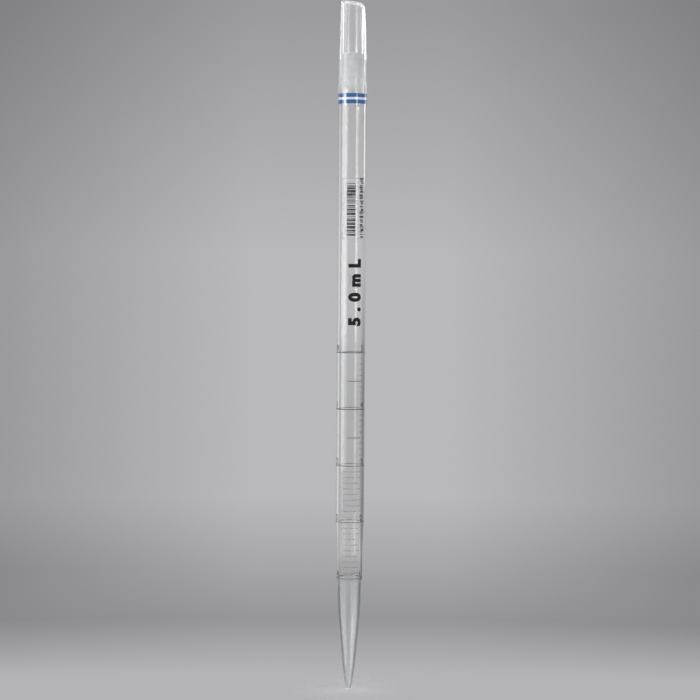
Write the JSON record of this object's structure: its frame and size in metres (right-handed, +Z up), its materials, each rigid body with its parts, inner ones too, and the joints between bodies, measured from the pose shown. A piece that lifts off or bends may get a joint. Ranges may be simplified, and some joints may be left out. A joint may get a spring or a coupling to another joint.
{
  "type": "graduated pipette",
  "caption": "Clear plastic serological pipette: straight graduated barrel, tapered mouthpiece with filter plug, colour-coded bands and a long tapered tip.",
  "frame": {"origin": "centre of the tip's end face, where the pipette would touch a surface", "axes": "+Z up the bore axis from the tip to the mouthpiece, -Y out of the printed front, +X to the right as the front is looked at"},
  "size_m": [0.01, 0.01, 0.2363],
  "materials": {
    "clear_styrene": "clear, glossy, slightly drawn surface",
    "fibre": "matt white pressed fibre",
    "blue_ink": "thin printed ink under a gloss varnish",
    "white_ink": "thin printed ink, satin",
    "grey_ink": "thin printed ink, partly worn",
    "label_clear": "thin clear film with a faint white tint"
  },
  "bodies": {
    "tube_body": {"mouthpiece": "clear_styrene", "barrel": "clear_styrene", "tip": "clear_styrene", "colour_band_upper": "blue_ink", "white_band": "white_ink", "colour_band_lower": "blue_ink", "graduation_ring_0": "grey_ink", "graduation_ring_1": "grey_ink", "graduation_ring_2": "grey_ink", "graduation_ring_3": "grey_ink", "graduation_ring_4": "grey_ink", "label_film": "label_clear"},
    "plug": {"filter_plug": "fibre"}
  },
  "joints": [
    {"name": "plug_withdrawal", "type": "slide", "parent": "tube_body", "child": "plug", "axis": [0, 0, 1], "range_m": [0, 0.032]}
  ]
}
